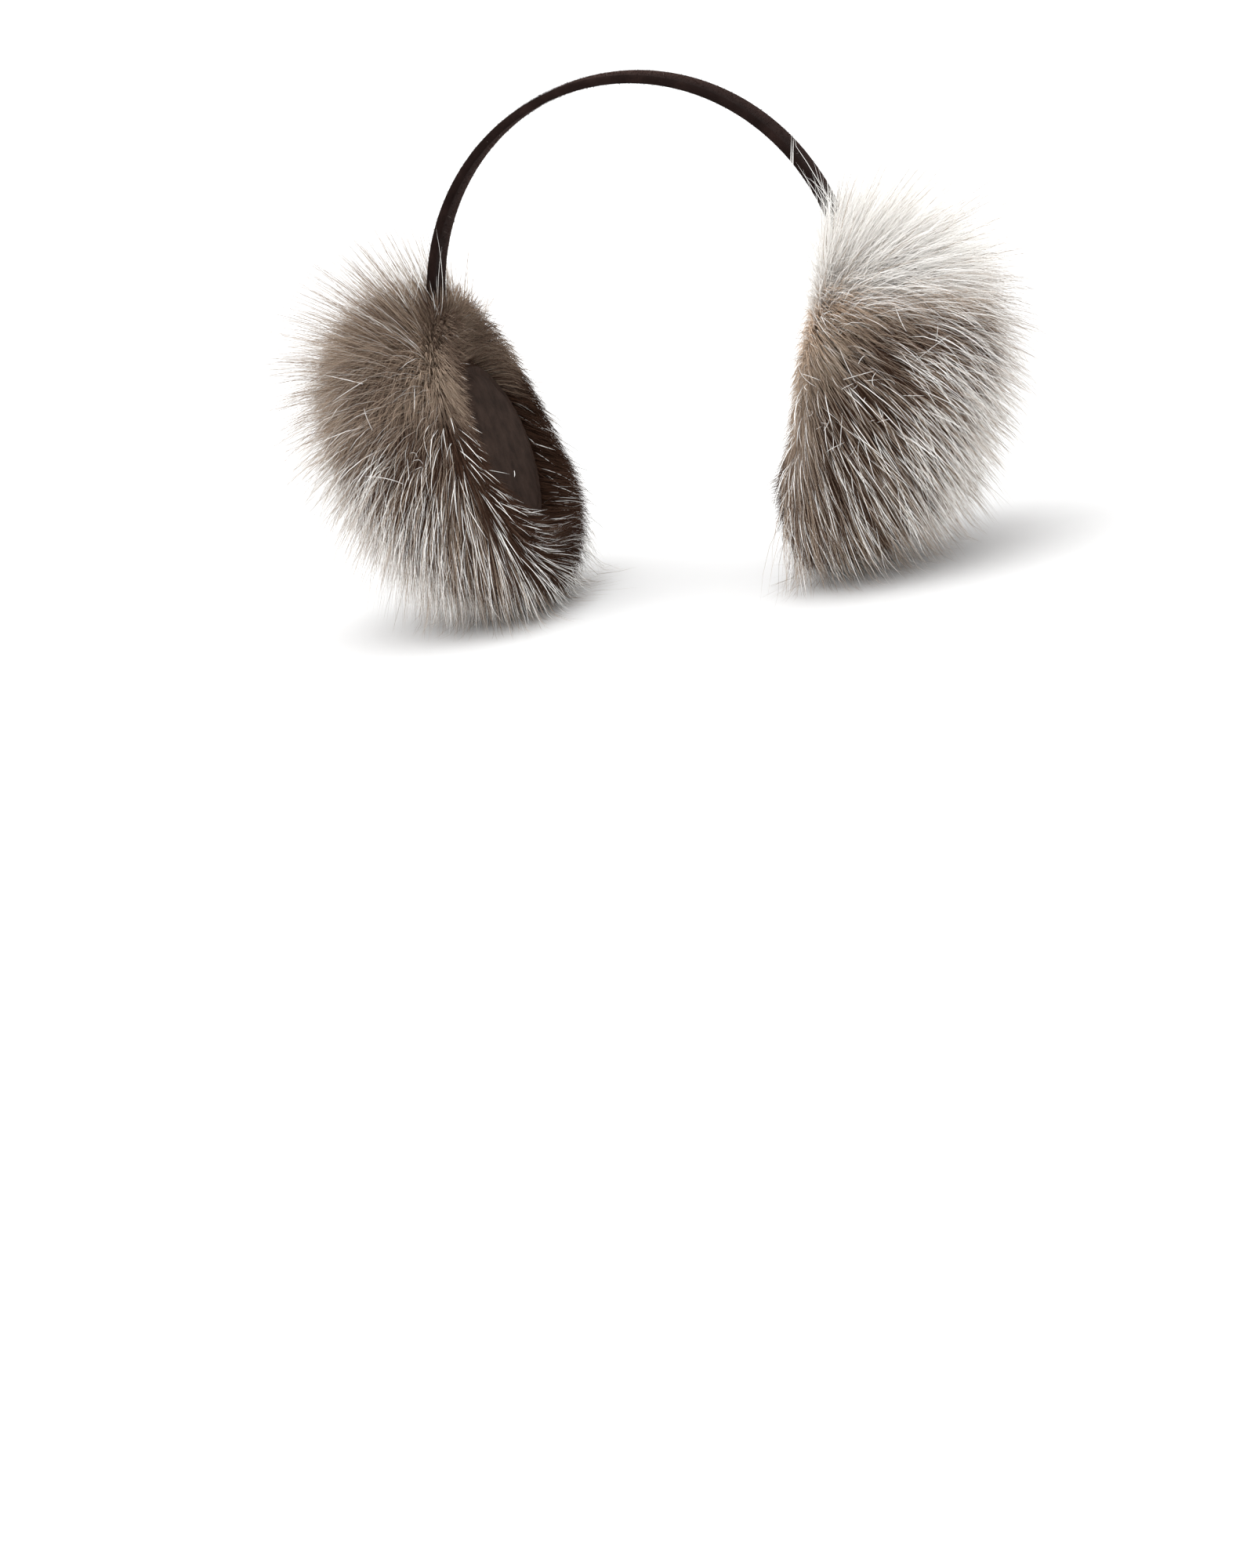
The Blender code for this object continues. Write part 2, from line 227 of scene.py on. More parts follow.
class StageSettings(bpy.types.PropertyGroup):
    """The floor, light and camera"""

    azimuth: angle_property("Azimuth", "Camera's place round the object", 16.4)
    elevation: angle_property("Elevation", "Camera's place above the horizon", 13.6)
    roll: angle_property("Roll", "Camera's turn about its own line of sight", 10.3)
    distance: length_property("Distance", "Camera to the pads' middle", 1.8)
    aim_left: length_property("Aim left", "Aim to the left of the pads' middle", 0.01533)
    aim_below: length_property("Aim below", "Aim below the pads' middle", 0.14325)
    lens: number_property("Lens", "Focal length in mm", 102.7)
    ambient: number_property("Ambient", "Strength of the white surroundings", 1.15)
    key: number_property("Key", "Strength of the key light", 1.4)
    key_softness: angle_property("Key softness", "Angle that the key light spans", 60)
    floor: colour_property("Floor", "Colour of the floor", (0.86, 0.86, 0.86))


# ---- shared helpers


def set_mode(mode):
    bpy.ops.object.mode_set(mode=mode)


def deselect_all():
    if bpy.context.mode != "OBJECT":
        set_mode("OBJECT")
    bpy.ops.object.select_all(action="DESELECT")


def points_of(mesh):
    return np.array([vertex.co for vertex in mesh.vertices])


def move_points(mesh, points):
    mesh.vertices.foreach_set("co", points.astype(np.float32).ravel())


def finish_piece(obj, name, node, material):
    """Names the piece, gives it its material and ties it to the frame."""
    obj.name = name
    obj.data.name = name
    obj.data.materials.clear()
    obj.data.materials.append(material)
    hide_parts(node)
    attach(obj, "root")


def pad_turn(pad):
    """The pad's own axes as columns: away from the head, backwards, and up along the band."""
    return np.array(Matrix.Rotation(pad.lean, 3, "Y"))


def pad_middle(pad):
    return np.array([pad.middle_out, 0.0, pad.middle_height])


def to_world(points, pad):
    """Points of the right pad's frame, in the world."""
    return points @ pad_turn(pad).T + pad_middle(pad)


def to_pad(points, pad):
    """World points, in the right pad's frame."""
    return (points - pad_middle(pad)) @ pad_turn(pad)


def unit(vectors):
    return vectors / np.linalg.norm(vectors, axis=-1, keepdims=True)


def smooth_step(values, low, high):
    share = np.clip((values - low) / (high - low), 0, 1)
    return share * share * (3 - 2 * share)


def new_material(name, roughness, specular):
    """A material and its node tree."""
    material = bpy.data.materials.new(name)
    material.use_nodes = True
    shader = material.node_tree.nodes["Principled BSDF"]
    shader.inputs["Roughness"].default_value = roughness
    shader.inputs["Specular IOR Level"].default_value = specular
    return material, material.node_tree


def link_shader(tree, output, name):
    tree.links.new(output, tree.nodes["Principled BSDF"].inputs[name])


def add_node(tree, kind, label, **settings):
    node = tree.nodes.new(kind)
    node.label = label
    for name, value in settings.items():
        setattr(node, name, value)
    return node


def colour_ramp(tree, label, source, stops):
    """The source's values as colours, through (place, colour) stops."""
    ramp = add_node(tree, "ShaderNodeValToRGB", label)
    elements = ramp.color_ramp.elements
    while len(elements) < len(stops):
        elements.new(0.5)
    for element, (place, colour) in zip(elements, stops):
        element.position = place
        element.color = (*colour, 1.0)
    tree.links.new(source, ramp.inputs["Fac"])
    return ramp.outputs["Color"]


def mix_colours(tree, label, factor, first, second, blend="MIX"):
    """For colours a mix node has its factor at 0, its inputs at 6 and 7 and its output at 2."""
    mix = add_node(tree, "ShaderNodeMix", label, data_type="RGBA", blend_type=blend)
    for number, value in ((0, factor), (6, first), (7, second)):
        socket = mix.inputs[number]
        if isinstance(value, bpy.types.NodeSocket):
            tree.links.new(value, socket)
        else:
            socket.default_value = value
    return mix.outputs[2]


def noise(tree, label, scale, detail=3.0, roughness=0.55):
    """Object coordinates through a noise."""
    coordinates = add_node(tree, "ShaderNodeTexCoord", label + " place")
    texture = add_node(tree, "ShaderNodeTexNoise", label)
    texture.inputs["Scale"].default_value = scale
    texture.inputs["Detail"].default_value = detail
    texture.inputs["Roughness"].default_value = roughness
    tree.links.new(coordinates.outputs["Object"], texture.inputs["Vector"])
    return texture.outputs["Fac"]


def hair_shares(tree):
    """Each hair's root-to-tip share, and its tone."""
    place = add_node(tree, "ShaderNodeUVMap", "Root to tip, and tone", uv_map=HAIR_MAP)
    parts = add_node(tree, "ShaderNodeSeparateXYZ", "Share and tone")
    tree.links.new(place.outputs["UV"], parts.inputs[0])
    return parts.outputs["X"], parts.outputs["Y"]


def add_bump(tree, label, strength, height):
    bump = add_node(tree, "ShaderNodeBump", label)
    bump.inputs["Strength"].default_value = strength
    bump.inputs["Distance"].default_value = BUMP_HEIGHT
    tree.links.new(height, bump.inputs["Height"])
    link_shader(tree, bump.outputs["Normal"], "Normal")


def times(colour, amount):
    return tuple(min(1.0, channel * amount) for channel in colour)


# ---- strands


def strands_mesh(lines, widths, tones, outward, rng, turned=0.8):
    """One mesh of tapered ribbons from lines (hairs, points, 3) and widths (hairs, points).

    Each hair's front faces outward, turned at random by up to about this much.
    """
    hairs, points = lines.shape[:2]
    along = np.gradient(lines, axis=1)
    facing = outward + np.reshape(turned, (-1, 1)) * unit(rng.normal(size=(hairs, 3)))
    across = unit(np.cross(along, facing[:, None] + 1e-6))
    facing = np.einsum("hpi,hi->h", np.cross(along, across), outward)
    across *= np.where(facing < 0, -1, 1)[:, None, None]
    edges = across * (0.5 * widths)[..., None]
    stations = points - 1
    rows = np.stack([lines - edges, lines + edges], axis=2)[:, :stations].reshape(hairs, -1, 3)
    vertices = np.concatenate([rows, lines[:, -1:]], axis=1)
    per_hair = vertices.shape[1]

    quads = np.array([[2 * k, 2 * k + 1, 2 * k + 3, 2 * k + 2] for k in range(stations - 1)])
    tip = np.array([2 * stations - 2, 2 * stations - 1, 2 * stations])
    pattern = np.concatenate([quads.ravel(), tip])
    starts = np.concatenate([np.arange(len(quads)) * 4, [len(quads) * 4]])
    first_vertex = np.arange(hairs)[:, None] * per_hair
    corners = (pattern[None, :] + first_vertex).ravel()
    loop_starts = (starts[None, :] + np.arange(hairs)[:, None] * len(pattern)).ravel()

    mesh = bpy.data.meshes.new("strands")
    mesh.vertices.add(hairs * per_hair)
    move_points(mesh, vertices)
    mesh.loops.add(len(corners))
    mesh.loops.foreach_set("vertex_index", corners.astype(np.int32))
    mesh.polygons.add(len(loop_starts))
    mesh.polygons.foreach_set("loop_start", loop_starts.astype(np.int32))

    shares = np.append(np.repeat(np.arange(stations) / stations, 2), 1.0)
    offsets = np.append(np.tile([-1.0, 1.0], stations), 0.0) / 256
    places = np.empty((hairs, len(pattern), 2), np.float32)
    places[..., 0] = 0.01 + 0.98 * shares[pattern]
    places[..., 1] = np.clip(tones, 0.01, 0.99)[:, None] + offsets[pattern]
    uv_map = mesh.uv_layers.new(name=HAIR_MAP)
    uv_map.data.foreach_set("uv", places.ravel())
    mesh.update(calc_edges=True)
    mesh.validate()
    obj = bpy.data.objects.new("strands", mesh)
    bpy.context.scene.collection.objects.link(obj)
    return obj


def even_directions(count, least_outward, rng):
    """Directions spread evenly from the pad's outward axis to just past its rim."""
    number = np.arange(count) + rng.random(count)
    outward = 1 - (1 - least_outward) * number / count
    turn = 2 * math.pi * GOLDEN_SHARE * np.arange(count) + rng.normal(0, 0.02, count)
    ring = np.sqrt(1 - outward ** 2)
    return np.stack([outward, ring * np.sin(turn), ring * np.cos(turn)], axis=1)


def fur_reach(directions, pad):
    """How far the fur reaches from the pad's middle: fullest upwards and outwards."""
    outer = np.clip(directions[:, 0], 0, 1)
    above = np.clip(directions[:, 2], 0, 1)
    below = np.clip(-directions[:, 2], 0, 1)
    full = 1 + outer * (FULLER_ABOVE * above - LEANER_BELOW * below)
    across = np.where(directions[:, 0] > 0, pad.reach_out, pad.reach_side)
    upright = np.where(directions[:, 2] > 0, pad.reach_up, pad.reach_down)
    reaches = np.stack([across, np.full_like(across, pad.reach_side), upright], axis=1)
    shares = np.abs(directions) / reaches
    return full * (shares ** pad.roundness).sum(1) ** (-1 / pad.roundness)


def band_line(band, steps=80):
    """The band's middle line from the crown to its right end: x, z and turn at each point."""
    step = band.half_length / steps
    shares = (np.arange(steps) + 0.5) / steps
    turns = np.cumsum(step * (1 - band.curvature_ease * shares ** 2) / band.crown_radius)
    middles = turns - 0.5 * np.diff(turns, prepend=0)
    x = np.concatenate([[0], np.cumsum(step * np.cos(middles))])
    z = band.crown_height - np.concatenate([[0], np.cumsum(step * np.sin(middles))])
    return x, z, np.concatenate([[0], turns])


def held_off_floor(points, pad):
    """Points of the right pad in its frame, with those that reach the floor pressed and spread."""
    turn = pad_turn(pad)
    placed = points @ turn.T
    over = placed[..., 2] + pad.middle_height - FLOOR_GAP
    eased = FLOOR_GAP + 0.5 * (over + np.sqrt(over ** 2 + EASE ** 2)) - pad.middle_height
    spread = 0.7 * (eased - placed[..., 2])[..., None]
    level = placed[..., :2]
    level += spread * level / (np.linalg.norm(level, axis=-1, keepdims=True) + 0.01)
    placed[..., 2] = eased
    return placed @ turn


def held_inside(points, most_out, most_side):
    """World points of the right pad, drawn in from beyond these furthest places."""
    for axis, most, sign in ((0, most_out, 1), (1, most_side, 1), (1, most_side, -1)):
        room = most - sign * points[..., axis]
        points[..., axis] = sign * (most - 0.5 * (room + np.sqrt(room ** 2 + EASE ** 2)))
    return points


def clear_of_cushion(points, pad, cushion):
    """Keeps hairs behind the cushion's back, and round its rim."""
    radial = np.hypot(points[..., 1], points[..., 2])
    rim = cushion.radius + RIM_GAP
    over_edge = (points[..., 0] < -pad.inner_face) & (radial > 0.7 * rim) & (radial < rim)
    points[..., 1:] *= np.where(over_edge, rim / np.maximum(radial, 1e-6), 1)[..., None]
    radial = np.hypot(points[..., 1], points[..., 2])
    ring = smooth_step(radial, cushion.radius + 0.5 * RIM_GAP, cushion.radius + EASE)
    innermost = HAIR_DEPTH - pad.inner_face - (1.8 * pad.reach_in - pad.inner_face) * ring
    points[..., 0] = np.maximum(points[..., 0], innermost)
    return points


def clear_of_band(points, pad, band):
    """Parts the hairs round the strip, to its outer or inner face."""
    placed = to_world(points, pad)
    x, z, _ = band_line(band)
    low_end = len(z) - int(0.45 * len(z))
    strip_x = np.interp(placed[..., 2], z[::-1][:low_end], x[::-1][:low_end])
    beside = placed[..., 0] - strip_x
    room = 0.5 * band.thickness + STRIP_GAP
    over_width = np.abs(placed[..., 1]) < 0.5 * band.width + STRIP_GAP
    meets = over_width & (placed[..., 2] > z[-1] - STRIP_GAP) & (np.abs(beside) < room)
    moved = np.where(beside >= 0, room, -room) - beside
    placed[..., 0] += np.where(meets, moved, 0)
    return to_pad(placed, pad)


def hair_ends(directions, lengths, pad, cushion, side, root_share, rng):
    """Each hair's root in the pelt, its shoulder over the pelt and its tip.

    Hairs that grow towards the head end over a flat ring round the cushion.
    """
    count = len(directions)
    tips = directions * (fur_reach(directions, pad) * lengths)[:, None]
    inner = np.clip((RING_STARTS - directions[:, 0]) / (RING_STARTS - INNERMOST), 0, 1)
    radial = np.hypot(tips[:, 1], tips[:, 2])
    ring = cushion.radius + rng.uniform(0.001, 0.005, count)
    tips[:, 1:] *= (1 + inner * (ring / radial - 1))[:, None]
    low = smooth_step(-directions[:, 2], 0.1, 0.8)
    flat = -pad.reach_in * rng.uniform(0.6, 1.05, count) * (1 + 0.8 * low)
    tips[:, 0] = np.maximum(tips[:, 0], flat)

    lean = pad.right_lean if side > 0 else pad.left_lean
    rising = unit(directions + pad_turn(pad).T @ np.array(lean))
    rise = fur_reach(rising, pad)[:, None]
    roots = rising * rise * root_share
    roots[:, 0] = np.maximum(roots[:, 0], HAIR_DEPTH - pad.inner_face)
    under_tips = 0.97 * np.hypot(tips[:, 1], tips[:, 2]) / np.hypot(roots[:, 1], roots[:, 2])
    roots[:, 1:] *= np.where(inner > 0, np.minimum(1, under_tips), 1)[:, None]

    height = (0.62 + 0.25 * lengths[:, None]) * rng.uniform(0.92, 1.04, (count, 1))
    shoulders = rising * rise * height
    shoulders += inner[:, None] * (0.5 * (roots + tips) - shoulders)
    shoulders[:, 0] = np.maximum(shoulders[:, 0], 0.8 * flat)
    return roots, shoulders, tips


def hair_lines(roots, shoulders, tips, points, bend, rng):
    """Each hair's points, from its root over its shoulder to its tip, bent aside and waved."""
    count = len(tips)
    along = np.linspace(0, 1, points)[None, :, None]
    lower = roots[:, None] + (shoulders - roots)[:, None] * along
    upper = shoulders[:, None] + (tips - shoulders)[:, None] * along
    lines = lower + (upper - lower) * along
    aside = np.cross(unit(tips - roots), unit(rng.normal(size=tips.shape)))
    size = np.linalg.norm(tips - roots, axis=1)[:, None, None]
    bends = np.reshape(bend, (-1, 1, 1)) * np.clip(rng.normal(0, 1, (count, 1, 1)), -1.7, 1.7)
    lines += aside[:, None] * size * bends * along ** 1.5
    phase = rng.uniform(0, 2 * math.pi, (count, 1, 1))
    across = np.cross(aside, unit(tips - roots))[:, None]
    lines += across * HAIR_WAVE * (np.sin(5 * along + phase) - np.sin(phase)) * along
    return lines


def nearest_locks(directions, locks, rng):
    """The number of the lock that each hair belongs to."""
    tree = KDTree(locks)
    for number, centre in enumerate(even_directions(locks, INNERMOST, rng)):
        tree.insert(centre, number)
    tree.balance()
    return np.array([tree.find(direction)[1] for direction in directions])


def drawn_together(lines, nearest, pull, rng):
    """Draws the hairs of each lock together towards their tips."""
    tips = lines[:, -1]
    totals = np.zeros((nearest.max() + 1, 3))
    np.add.at(totals, nearest, tips)
    counts = np.maximum(np.bincount(nearest), 1)
    lock_tips = (totals / counts[:, None])[nearest]
    share = np.linspace(0, 1, lines.shape[1])[None, :, None] ** 1.3
    strength = np.reshape(pull, (-1, 1, 1)) * rng.uniform(0.6, 1.0, (len(tips), 1, 1))
    return lines + (lock_tips - tips)[:, None] * strength * share


def whorl_angles(directions, side):
    """Degrees from each direction to the whorl in front or behind."""
    mirrored = directions.copy()
    mirrored[:, 1] = np.abs(directions[:, 1])
    return np.degrees(np.arccos(np.clip(mirrored @ unit(np.array(WHORLS[side])), -1, 1)))


def pale_top(directions, side, low, high):
    """1 over the top of the right pad, whose fur is pale to the root, from these heights up."""
    if side < 0:
        return np.zeros(len(directions))
    height = directions @ np.array([-0.22, 0, 1]) - 0.2 * np.abs(directions[:, 1])
    return smooth_step(height, low, high)


def patches(directions, rng):
    """Slow, even waves from -1 to 1 over the pad."""
    waves = rng.normal(0, 4.0, (3, 5))
    return np.sin(directions @ waves + rng.uniform(0, 2 * math.pi, 5)).mean(axis=1)


def underfur_tones(directions, side, rng):
    """0 is brown, 0.5 tan and 1 cream: paler at the whorls and at the top of the right pad."""
    outward, _, upward = directions.T
    whorl = 1 - smooth_step(whorl_angles(directions, side), *WHORL_SPANS[side])
    if side > 0:
        top = pale_top(directions, side, 0.17, 0.54) * (1 - 0.7 * whorl)
        edge = (1 - smooth_step(outward, -0.04, 0.20)) * smooth_step(upward, -0.70, 0.25)
        tones = 0.12 + 0.46 * np.maximum(whorl, 0.8 * edge) * (1 - top) + 0.88 * top
    else:
        top = smooth_step(upward, -0.1, 0.5)
        outer = smooth_step(outward, 0.2, 0.9)
        tones = 0.06 + 0.14 * whorl + (0.26 + 0.06 * outer) * top + 0.12 * outer
    tones += 0.13 * patches(directions, rng)
    return np.clip(tones + rng.normal(0, 0.06, len(tones)), 0, 1)


def silver_spread(directions, angles, side):
    """The chance that each guard hair is silver, and how far it is from the whorl, 0 to 1."""
    spread = SILVER[side]
    outer = smooth_step(directions[:, 0], *spread.outer) ** 2
    inner = smooth_step(-directions[:, 0], -0.05, 0.25)
    kept = spread.high + (1 - spread.high) * smooth_step(-directions[:, 2], -0.6, 0.0)
    near = (spread.near_base + spread.near_outer * outer) * kept * smooth_step(angles, *spread.near)
    far = smooth_step(angles, *spread.far)
    share = spread.far_base + FAR_OUTER * outer + spread.far_inner * inner
    return LEAST_SILVER + near + FAR_SILVER * far * share, far


def grow_hairs(
    pad, cushion, band, side, rng, kind,
    directions, lengths, tones, locks=None, thick=1.0, loose=0.0,
):
    """One mesh of hairs of a kind.

    A loose hair stands by itself: it bends more, keeps out of its lock and faces outward.
    """
    bend = kind.bend * (1 + 0.9 * loose)
    pull = kind.pull * (1 - 0.75 * loose)
    root_share = pad.body * kind.root_share
    ends = hair_ends(directions, lengths, pad, cushion, side, root_share, rng)
    lines = hair_lines(*ends, len(kind.taper), bend, rng)
    if locks is not None:
        lines = drawn_together(lines, locks, pull, rng)
    lines = clear_of_cushion(clear_of_band(lines, pad, band), pad, cushion)
    lines = to_world(held_off_floor(lines, pad), pad)
    widths = np.array(kind.taper)[None] * rng.uniform(0.7, 1.2, (len(directions), 1))
    widths *= np.reshape(thick, (-1, 1))
    mirror = np.array([side, 1, 1])
    outward = directions @ pad_turn(pad).T * mirror
    lines = held_inside(lines, pad.middle_out + pad.most_out, pad.most_side) * mirror
    return strands_mesh(lines, widths, tones, outward, rng, 0.7 - 0.45 * loose)


def underfur(pad, side, rng):
    """The dense, soft hairs that give a pad its body."""
    directions = even_directions(pad.underfur_count, INNERMOST, rng)
    lengths = 0.95 - 0.20 * rng.random(len(directions)) ** 1.4
    tones = underfur_tones(directions, side, rng)
    return directions, lengths, tones, nearest_locks(directions, UNDERFUR_LOCKS, rng)


def guard_hair(pad, side, rng):
    """The longer, stiffer hairs, in small locks: silver at their ends, brown or pale."""
    directions = even_directions(pad.guard_count, INNERMOST, rng)
    bare = 0.8 * (1 - smooth_step(whorl_angles(directions, side), 10, 35))
    directions = directions[rng.random(len(directions)) > bare]
    count = len(directions)
    locks = nearest_locks(directions, pad.guard_locks, rng)
    chance, far = silver_spread(directions, whorl_angles(directions, side), side)
    silver = rng.random(count) < chance
    pale = rng.random(count) < pale_top(directions, side, 0.28, 0.52)
    soft = 0.10 + 0.8 * underfur_tones(directions, side, rng)
    tones = np.where(silver, rng.uniform(0.74, 0.84, count), np.minimum(soft, 0.53))
    tones = np.where(pale, rng.uniform(0.92, 1.0, count), tones)
    silver |= pale
    long = 1.23 - 0.28 * rng.random(count) ** 0.8
    lengths = np.where(silver, long, 1.01 - 0.22 * rng.random(count))
    thick = np.where(silver, 1.45 - 0.25 * far - 0.25 * pale, 0.85)
    loose = np.where(silver, 1.0 - 0.6 * far, 0.0)
    return directions, lengths, tones, locks, thick, loose


def wisps(pad, side, rng):
    """Fine hairs past the rest."""
    directions = even_directions(pad.wisp_count, WISPS_INNERMOST, rng)
    lengths = 1.34 - 0.32 * rng.random(len(directions))
    tones = rng.uniform(0.30, 0.56, len(directions))
    pale = rng.random(len(directions)) < 0.75 * pale_top(directions, side, 0.1, 0.5)
    return directions, lengths, np.where(pale, 0.95, tones)


def beside_strip(band, heights, off, forward):
    """Places at these heights on the strip's right side, this far off it and forward."""
    x, z, _ = band_line(band)
    top = z[::-1][:int(0.6 * len(z))]
    return np.stack([np.interp(heights, top, x[::-1][:len(top)]) + off, -forward, heights], axis=1)


def grow_strays(pad, cushion, band, side, rng):
    """Single silver hairs: some cross the band, and short curled ones lie round the whorls."""
    crossing, curled, rise = STRAYS[side]
    height = rng.uniform(0.110, 0.132, crossing)
    off = rng.uniform(-0.006, 0.011, crossing)
    root = beside_strip(band, height, off, rng.uniform(0.0105, 0.014, crossing))
    height += 0.016 + rise * rng.random(crossing) ** 1.8
    off += rng.normal(0, 0.008, crossing)
    tip = beside_strip(band, height, off, rng.uniform(0.0105, 0.017, crossing))
    root, tip = to_pad(root, pad), to_pad(tip, pad)

    in_front = np.array(WHORLS[side]) * np.array([1, -1, 1])
    scatter = rng.normal(0, 0.25, (curled, 3))
    below = unit(in_front + scatter + np.array([0.22, 0, -0.28]))
    root = np.concatenate([root, below * (0.87 * fur_reach(below, pad))[:, None]])
    aside = unit(below + rng.normal(0, 0.07, (curled, 3)))
    reach = fur_reach(aside, pad) * rng.uniform(0.97, 1.06, curled)
    tip = np.concatenate([tip, aside * reach[:, None]])

    count = crossing + curled
    sway = np.where(np.arange(count) < crossing, 1, 0.4)[:, None]
    middle = 0.5 * (root + tip) + rng.normal(0, 0.003, (count, 3)) * sway
    share = np.linspace(0, 1, len(STRAY_TAPER))[None, :, None]
    lines = (1 - share) ** 2 * root[:, None] + 2 * share * (1 - share) * middle[:, None]
    lines += share ** 2 * tip[:, None]
    lines[..., 1] *= np.where(rng.random((count, 1)) < 0.6, 1, -1)
    lines = to_world(clear_of_cushion(clear_of_band(lines, pad, band), pad, cushion), pad)
    lines[..., 0] *= side
    widths = np.array(STRAY_TAPER) * rng.uniform(0.7, 1.1, (count, 1))
    outward = unit(lines[:, -1] * np.array([0, 1, 0]) + np.array([side * 0.006, 0, 0.004]))
    return strands_mesh(lines, widths, np.full(count, STRAY_TONE), outward, rng, 0.3)


def tone_colours(tree, pad, tone):
    return colour_ramp(tree, "Brown to tan to cream", tone, [
        (0.0, times(pad.brown, 0.75)), (0.2, pad.brown[:]), (0.55, pad.tan[:]),
        (0.74, times(pad.tan, 1.4)), (0.95, pad.cream[:]),
    ])


def underfur_material(pad):
    """Brown, tan or cream by each hair's tone, darkened towards the root by painted shade deep in
    the fur.
    """
    material, tree = new_material("soft_underfur", 0.8, 0.04)
    share, tone = hair_shares(tree)
    # Painted shade: each hair darkens towards its root, where it lies deep in the fur.
    depth = colour_ramp(tree, "Painted shade at the root", share, [
        (0.0, (0.78, 0.74, 0.70)), (0.45, (0.94, 0.92, 0.90)), (1.0, (1.0, 1.0, 1.0)),
    ])
    colours = tone_colours(tree, pad, tone)
    colour = mix_colours(tree, "Painted shade towards the root", 1.0, colours, depth, "MULTIPLY")
    link_shader(tree, colour, "Base Color")
    return material


def guard_hair_material(pad):
    """By tone: brown throughout, brown with a silver end, or pale throughout."""
    material, tree = new_material("silver_guard_hair", 0.6, 0.08)
    share, tone = hair_shares(tree)
    root = colour_ramp(tree, "Root", tone, [
        (0.0, times(pad.brown, 0.7)), (0.24, times(pad.brown, 1.3)), (0.44, times(pad.tan, 0.72)),
        (0.56, times(pad.tan, 0.9)), (0.62, times(pad.brown, 1.2)), (0.86, times(pad.brown, 1.2)),
        (0.90, times(pad.cream, 0.95)),
    ])
    tip = colour_ramp(tree, "Tip", tone, [
        (0.0, times(pad.brown, 0.8)), (0.2, pad.brown[:]), (0.46, times(pad.tan, 0.8)),
        (0.57, times(pad.cream, 0.68)), (0.66, times(pad.silver, 0.9)), (0.80, pad.silver[:]),
    ])
    end = colour_ramp(tree, "Silver end", share, [(0.32, (0, 0, 0)), (0.50, (1, 1, 1))])
    colour = mix_colours(tree, "Root to tip", end, root, tip)
    link_shader(tree, colour, "Base Color")
    return material


def pelt_material(pad):
    """The pelt's body under the hairs: brown, mottled as fine fur is and darkened by painted shade
    between the hairs.
    """
    material, tree = new_material("pelt_body", 0.9, 0.1)
    attribute = add_node(tree, "ShaderNodeAttribute", "Tone", attribute_name="tone")
    colours = tone_colours(tree, pad, attribute.outputs["Fac"])
    # The mottle is the fur's grain together with painted shade between the hairs: it only ever
    # darkens.
    grain = colour_ramp(tree, "Mottle", noise(tree, "Fur grain and painted shade", 900.0), [
        (0.35, (0.68, 0.65, 0.62)), (0.65, (0.95, 0.93, 0.91)),
    ])
    colour = mix_colours(tree, "Shade between hairs", 1.0, colours, grain, "MULTIPLY")
    link_shader(tree, colour, "Base Color")
    return material


def make_pelt_body(pad, side):
    """A ball drawn to the pad's form and cut flat behind the cushion."""
    deselect_all()
    bpy.ops.mesh.primitive_uv_sphere_add(segments=64, ring_count=40, radius=1.0)
    body = bpy.context.object
    set_mode("EDIT")
    upright = pad.body * 0.5 * (pad.reach_up + pad.reach_down)
    bpy.ops.transform.resize(value=(pad.body * pad.reach_out, pad.body * pad.reach_side, upright))
    bpy.ops.mesh.select_all(action="SELECT")
    bpy.ops.mesh.bisect(
        plane_co=(-pad.inner_face, 0, 0), plane_no=(-1, 0, 0), use_fill=True, clear_outer=True
    )
    bpy.ops.mesh.select_all(action="SELECT")
    bpy.ops.transform.rotate(value=-pad.lean, orient_axis="Y", center_override=(0, 0, 0))
    bpy.ops.transform.translate(value=(pad.middle_out, 0, pad.middle_height))
    if side < 0:
        bpy.ops.transform.mirror(constraint_axis=(True, False, False), center_override=(0, 0, 0))
    bpy.ops.mesh.normals_make_consistent(inside=False)
    set_mode("OBJECT")
    bpy.ops.object.shade_smooth_by_angle(angle=math.radians(50))
    directions = unit(to_pad(points_of(body.data) * np.array([side, 1, 1]), pad))
    tones = underfur_tones(directions, side, np.random.default_rng(PELT_SEED))
    attribute = body.data.attributes.new("tone", "FLOAT", "POINT")
    attribute.data.foreach_set("value", tones.astype(np.float32))
    return body


class EARMUFFS_OT_fur_pads(bpy.types.Operator):
    """Grow the two fur pads"""

    bl_idname = "earmuffs.fur_pads"
    bl_label = "Fur pads"

    def execute(self, context):
        scene = context.scene
        pad, cushion, band = scene.earmuff_pad, scene.earmuff_cushion, scene.earmuff_band
        pelt, soft, stiff = pelt_material(pad), underfur_material(pad), guard_hair_material(pad)
        for number, (name, side) in enumerate(SIDES.items()):
            rng = np.random.default_rng(FUR_SEED + number)
            node = "fur_pad_" + name
            finish_piece(make_pelt_body(pad, side), "pelt_" + name, node, pelt)
            place = pad, cushion, band, side, rng
            for title, kind, chosen, material in (
                ("underfur_", UNDERFUR, underfur, soft),
                ("guard_hair_", GUARD_HAIR, guard_hair, stiff),
                ("wisps_", WISPS, wisps, stiff),
            ):
                hairs = grow_hairs(*place, kind, *chosen(pad, side, rng))
                finish_piece(hairs, title + name, node, material)
            finish_piece(grow_strays(*place), "strays_" + name, node, stiff)
        return {"FINISHED"}


# ---- headband


